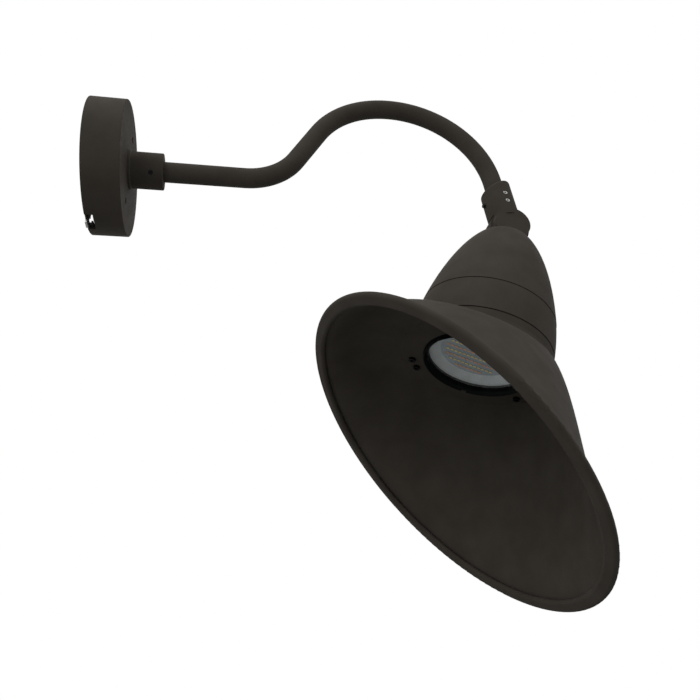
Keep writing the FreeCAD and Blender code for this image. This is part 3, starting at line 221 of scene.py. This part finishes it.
def glass(name, low, high):
    """Clear lens glass, faintly green, with a few soft smears."""
    material, nodes, links, shader = node_tree(name)
    smear = noise(nodes, links, 40, 3, (1, 3, 1))
    links.new(spread(nodes, links, smear, 0.04, 0.12), shader.inputs["Roughness"])
    links.new(ramp(nodes, links, smear, low, high), shader.inputs["Base Color"])
    shader.inputs["Alpha"].default_value = GLASS_ALPHA
    shader.inputs["IOR"].default_value = GLASS_IOR
    return material


# the darker and the lighter tone of each finish, in eight-bit sRGB
BRONZE = ((57, 53, 48), (63, 59, 54))
RING_BLACK = ((15, 17, 17), (22, 24, 24))
SCREW_BLACK = ((30, 30, 31), (46, 46, 48))
ZINC = ((168, 170, 168), (200, 201, 197))
CAST_ALLOY = ((176, 178, 180), (204, 206, 208))
GROUND_GREEN = ((22, 110, 52), (34, 138, 66))
BOARD_BLUE = ((142, 154, 163), (154, 166, 175))
REFLECTOR_WHITE = ((186, 192, 195), (202, 207, 209))
GLASS_GREEN = ((226, 238, 234), (236, 242, 240))
# for the rubber and the foam below, the darker tone is painted shade in the pits of the cells
RUBBER_BLACK = ((14, 14, 14), (26, 26, 26))
FOAM_BLACK = ((20, 20, 20), (44, 44, 44))
DISC_TAN = ((120, 112, 92), (138, 130, 108))
WIRE_BLACK = ((18, 18, 18), (26, 26, 26))
WIRE_WHITE = ((206, 206, 200), (220, 220, 214))
WIRE_GREEN = ((20, 92, 42), (28, 108, 52))
CONNECTOR_RED = ((138, 26, 22), (156, 36, 30))
CHIP_GREY = ((126, 132, 136), (138, 144, 148))
PHOSPHOR_ORANGE = ((242, 146, 48), (250, 164, 66))
PHOSPHOR_YELLOW = ((236, 206, 66), (246, 222, 92))
TIN_GREY = ((92, 96, 99), (118, 121, 123))
TRACK_BLUE = ((118, 132, 144), (130, 144, 156))

BRONZE_NODES = ("canopy", "hub", "arm_tube", "knuckle_sleeve", "knuckle_lug", "dome_housing",
                "middle_band", "lower_ring", "shade")
BLACK_SCREW_NODES = ("canopy_screws", "hub_set_screw", "lock_screw", "shade_screws", "bond_screw")
ZINC_NODES = ("mounting_plate", "hub_locknut", "pivot_bolt", "bolt_washer", "foot_nut",
              "sink_screws", "driver_bracket", "driver_screws", "sleeve_set_screws")


def paint(names, material):
    """Give CAD nodes a material in every slot."""
    for name in names:
        mesh = NODES[name].data
        mesh.materials.clear()
        mesh.materials.append(material)


def dress():
    """Every CAD node's finish."""
    paint(BRONZE_NODES, powder_coat("BronzeCoat", *BRONZE))
    paint(("retaining_ring",), powder_coat("BlackRing", *RING_BLACK, 0.42))
    paint(BLACK_SCREW_NODES, metal("BlackScrew", *SCREW_BLACK, 0.42))
    paint(ZINC_NODES, metal("ZincSteel", *ZINC, 0.32))
    paint(("heat_sink", "driver"), metal("CastAlloy", *CAST_ALLOY, 0.42, (1, 1, 1), 700))
    paint(("ground_screw",), metal("GreenScrew", *GROUND_GREEN))
    paint(("led_board",), plastic("BoardMask", *BOARD_BLUE, 0.3))
    paint(("reflector_ring",), plastic("Reflector", *REFLECTOR_WHITE, 0.45))
    paint(("lens",), glass("LensGlass", *GLASS_GREEN))
    paint(("lens_gasket", "shade_gasket"), foam("SealRubber", *RUBBER_BLACK, 2400))
    paint(("canopy_gasket",), foam("GasketFoam", *FOAM_BLACK))
    paint(("friction_washer",), plastic("FrictionDisc", *DISC_TAN, 0.6))
    paint(("line_wire",), plastic("WireBlack", *WIRE_BLACK))
    paint(("neutral_wire", "board_leads", "head_leads"), plastic("WireWhite", *WIRE_WHITE))
    paint(("ground_wire",), plastic("WireGreen", *WIRE_GREEN))
    paint(("wire_connectors",), plastic("Connector", *CONNECTOR_RED))


# ---------------------------------------------------------------- mesh helpers

def skin(mesh, loops, slots):
    """Walls from loop to loop, and both ends closed."""
    count = len(loops[0])
    for near, far, slot in zip(loops, loops[1:], slots):
        for i in range(count):
            j = (i + 1) % count
            face = mesh.faces.new((near[j], near[i], far[i], far[j]))
            face.material_index = slot
    mesh.faces.new(loops[0])
    mesh.faces.new(list(reversed(loops[-1]))).material_index = slots[-1]


def piece(name, mesh, materials, body):
    """A mesh made into a named piece that rides on a body."""
    bmesh.ops.recalc_face_normals(mesh, faces=mesh.faces)
    data = bpy.data.meshes.new(name)
    mesh.to_mesh(data)
    mesh.free()
    for material in materials:
        data.materials.append(material)
    thing = bpy.data.objects.new(name, data)
    bpy.context.scene.collection.objects.link(thing)
    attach(thing, body)
    return thing


# ---------------------------------------------------------------- chips

# the head's own frame: its origin is the dome's foot, on the head's axis
HEAD_FOOT = Vector((405.745, 0, -167.149)) * MM
HEAD_TILT = 20.4
BOARD_FRONT = -43.2
ARRAY_TURN = 1.7
ARRAY_SHIFT = 0.5
CHIP_PITCH = 4.4
ROW_PITCH = 7.85
# chips in the middle row and in each row out from it
CHIP_COUNTS = (16, 15, 14, 11, 7)
LAST_ROW = len(CHIP_COUNTS) - 1
CHIP_LENGTH = 3.5
CHIP_WIDTH = 2.8
CHIP_HEIGHT = 0.8
CHIP_CORNER = 0.3
WELL_CORNER = 0.4
# inset, cut corner and drop of a chip's outlines, from the board down and into its well
CHIP_OUTLINES = (
    (0, CHIP_CORNER, 0),
    (0, CHIP_CORNER, CHIP_HEIGHT * 0.8),
    (0.12, CHIP_CORNER, CHIP_HEIGHT),
    (0.3, WELL_CORNER, CHIP_HEIGHT),
    (0.36, WELL_CORNER, CHIP_HEIGHT - 0.14),
)
RIM_SLOT = 0
PHOSPHOR_SLOT = 1
PAD_LENGTH = 0.34
PAD_WIDTH = 1.9
PAD_CORNER = 0.08
PRINT_HEIGHT = 0.06
TRACK_WIDTH = 0.9
TRACK_CORNER = 0.3


def head_frame():
    """From the board's face to the sconce's frame, the array's small turn with it."""
    tilt = Matrix.Rotation(math.radians(HEAD_TILT), 4, "Y")
    turn = Matrix.Rotation(math.radians(ARRAY_TURN), 4, "Z")
    drop = Matrix.Translation(Vector((0, 0, BOARD_FRONT)) * MM)
    return Matrix.Translation(HEAD_FOOT) @ tilt @ drop @ turn


def chip_places(odd):
    """Middles of the chips in the odd rows, or in the even ones."""
    places = []
    for row in range(-LAST_ROW, LAST_ROW + 1):
        if row % 2 != odd:
            continue
        count = CHIP_COUNTS[abs(row)]
        for k in range(count):
            places.append((CHIP_PITCH * (k - (count - 1) / 2), ARRAY_SHIFT + ROW_PITCH * row))
    return places


def cut_loop(mesh, middle, length, width, corner, drop):
    """A rectangle with cut corners, hanging a distance below the board."""
    x, y = middle
    a = length / 2
    b = width / 2
    outline = ((a - corner, -b), (a, corner - b), (a, b - corner), (a - corner, b),
               (corner - a, b), (-a, b - corner), (-a, corner - b), (corner - a, -b))
    return [mesh.verts.new(Vector((x + u, y + v, -drop)) * MM) for u, v in outline]


def printed(mesh, middle, length, width, corner):
    """A thin flat print on the board."""
    loops = [cut_loop(mesh, middle, length, width, corner, drop) for drop in (0, PRINT_HEIGHT)]
    skin(mesh, loops, (0,))


def add_chip_rows(name, node, odd, materials):
    """The chips of one colour: a moulded rim round a sunk phosphor."""
    mesh = bmesh.new()
    for place in chip_places(odd):
        loops = []
        for inset, corner, drop in CHIP_OUTLINES:
            length = CHIP_LENGTH - 2 * inset
            width = CHIP_WIDTH - 2 * inset
            loops.append(cut_loop(mesh, place, length, width, corner, drop))
        skin(mesh, loops, (RIM_SLOT, RIM_SLOT, RIM_SLOT, PHOSPHOR_SLOT))
    mesh.transform(head_frame())
    chips = piece(name, mesh, materials, "head")
    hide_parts(node)


def add_pads():
    """A solder pad at both ends of every chip."""
    tin = metal("SolderTin", *TIN_GREY, 0.4, (1, 1, 1), 900)
    mesh = bmesh.new()
    for x, y in chip_places(0) + chip_places(1):
        for side in (-1, 1):
            middle = (x + side * (CHIP_LENGTH + PAD_LENGTH) / 2, y)
            printed(mesh, middle, PAD_LENGTH, PAD_WIDTH, PAD_CORNER)
    mesh.transform(head_frame())
    piece("SolderPads", mesh, (tin,), "head")


def add_tracks():
    """A track between each two rows of chips."""
    mask = plastic("TrackMask", *TRACK_BLUE, 0.3)
    mesh = bmesh.new()
    for row in range(-LAST_ROW, LAST_ROW):
        count = min(CHIP_COUNTS[abs(row)], CHIP_COUNTS[abs(row + 1)])
        middle = (0, ARRAY_SHIFT + ROW_PITCH * (row + 0.5))
        printed(mesh, middle, CHIP_PITCH * count, TRACK_WIDTH, TRACK_CORNER)
    mesh.transform(head_frame())
    piece("BoardTracks", mesh, (mask,), "head")


def add_chips():
    """The chips, warm and cool rows in turn, and what is printed between them."""
    rim = plastic("ChipRim", *CHIP_GREY, 0.35)
    warm = plastic("WarmPhosphor", *PHOSPHOR_ORANGE, 0.45)
    cool = plastic("CoolPhosphor", *PHOSPHOR_YELLOW, 0.45)
    add_chip_rows("WarmChips", "leds_warm", 0, (rim, warm))
    add_chip_rows("CoolChips", "leds_cool", 1, (rim, cool))
    add_pads()
    add_tracks()


# ---------------------------------------------------------------- sheet of painted shade in the drain notch

# a dark sheet put in the notch as painted shade, so the background doesn't show through it
NOTCH_SHEET_NEAR = 0.3
NOTCH_SHEET_FAR = 1.7
NOTCH_SHEET_RADIUS = 69.2
NOTCH_SHEET_TOP = -62.0
NOTCH_SHEET_LEFT = -9.4
NOTCH_SHEET_RIGHT = 15.4
NOTCH_SHEET_STEPS = 12
NOTCH_SHEET_EDGE = 0.3


def add_notch_shade_sheet():
    """A thin bronze sheet across the drain notch in the canopy's back edge, let into its two
    sides: painted shade, a dark sheet where the notch shows only shade.
    """
    outline = [(NOTCH_SHEET_LEFT, NOTCH_SHEET_TOP)]
    for i in range(NOTCH_SHEET_STEPS + 1):
        y = NOTCH_SHEET_LEFT + (NOTCH_SHEET_RIGHT - NOTCH_SHEET_LEFT) * i / NOTCH_SHEET_STEPS
        outline.append((y, -math.sqrt(NOTCH_SHEET_RADIUS ** 2 - y ** 2)))
    outline.append((NOTCH_SHEET_RIGHT, NOTCH_SHEET_TOP))
    mesh = bmesh.new()
    loops = []
    for x in (NOTCH_SHEET_NEAR, NOTCH_SHEET_FAR):
        loops.append([mesh.verts.new(Vector((x, y, z)) * MM) for y, z in outline])
    skin(mesh, loops, (0,))
    bmesh.ops.recalc_face_normals(mesh, faces=mesh.faces)
    edge = NOTCH_SHEET_EDGE * MM
    bmesh.ops.bevel(mesh, geom=mesh.edges[:], offset=edge, segments=2, affect="EDGES")
    coat = bpy.data.materials["BronzeCoat"]
    piece("NotchShadeSheet", mesh, (coat,), "base")


# ---------------------------------------------------------------- studio

# metres, and eight-bit sRGB
FLOOR_LEVEL = -0.95
FLOOR_SIDE = 14
FLOOR_MIDDLE = 0.25
FLOOR_PALE = ((228, 228, 227), (230, 230, 229))
FLOOR_BOUNCE = (162, 162, 161)
WHITE = (1, 1, 1, 1)
AMBIENT = 0.9
# place, aim, side in metres and power in watts
KEY_LAMP = ((0.2, -0.3, 1.5), (0.26, 0, -0.12), 0.8, 6)
FILL_LAMP = ((-0.8, -1.3, 0.45), (0, 0, 0.05), 1.0, 6)


def add_floor():
    """A plain pale floor, which throws back a little less light than it shows."""
    bpy.ops.mesh.primitive_plane_add(size=FLOOR_SIDE, location=(FLOOR_MIDDLE, 0, FLOOR_LEVEL))
    floor = bpy.context.object
    floor.name = "Floor"
    material, nodes, links, shader = node_tree("PaleFloor")
    pale = ramp(nodes, links, noise(nodes, links, 3, 2), *FLOOR_PALE)
    path = nodes.new("ShaderNodeLightPath")
    pick = nodes.new("ShaderNodeMix")
    pick.data_type = "RGBA"
    pick.inputs["A"].default_value = linear(FLOOR_BOUNCE)
    links.new(path.outputs["Is Camera Ray"], pick.inputs["Factor"])
    links.new(pale, pick.inputs["B"])
    links.new(pick.outputs["Result"], shader.inputs["Base Color"])
    shader.inputs["Roughness"].default_value = 0.9
    floor.data.materials.append(material)


def backdrop(nodes, strength):
    """A white background of a strength."""
    light = nodes.new("ShaderNodeBackground")
    light.inputs["Color"].default_value = WHITE
    light.inputs["Strength"].default_value = strength
    return light.outputs[0]


def add_world():
    """White where the camera, gloss and glass see it, and a plain level of light elsewhere."""
    world = bpy.data.worlds.new("Studio")
    bpy.context.scene.world = world
    world.use_nodes = True
    nodes = world.node_tree.nodes
    links = world.node_tree.links
    nodes.clear()
    out = nodes.new("ShaderNodeOutputWorld")
    path = nodes.new("ShaderNodeLightPath")
    mix = nodes.new("ShaderNodeMixShader")
    shown = path.outputs["Is Camera Ray"]
    for kind in ("Is Glossy Ray", "Is Transmission Ray"):
        either = nodes.new("ShaderNodeMath")
        either.operation = "MAXIMUM"
        links.new(shown, either.inputs[0])
        links.new(path.outputs[kind], either.inputs[1])
        shown = either.outputs[0]
    links.new(shown, mix.inputs["Fac"])
    links.new(backdrop(nodes, AMBIENT), mix.inputs[1])
    links.new(backdrop(nodes, 1.0), mix.inputs[2])
    links.new(mix.outputs[0], out.inputs["Surface"])


def add_lamp(name, place, aim, size, watts):
    """A square soft box."""
    data = bpy.data.lights.new(name, "AREA")
    data.size = size
    data.energy = watts
    lamp = bpy.data.objects.new(name, data)
    bpy.context.scene.collection.objects.link(lamp)
    lamp.location = place
    lamp.rotation_mode = "QUATERNION"
    lamp.rotation_quaternion = (Vector(aim) - Vector(place)).to_track_quat("-Z", "Y")


add_camera()
dress()
add_chips()
add_notch_shade_sheet()
add_floor()
add_world()
# a weak key from above, and a fill from the wall's side of the camera
add_lamp("Key", *KEY_LAMP)
add_lamp("Fill", *FILL_LAMP)
bpy.context.scene.view_settings.view_transform = "Standard"
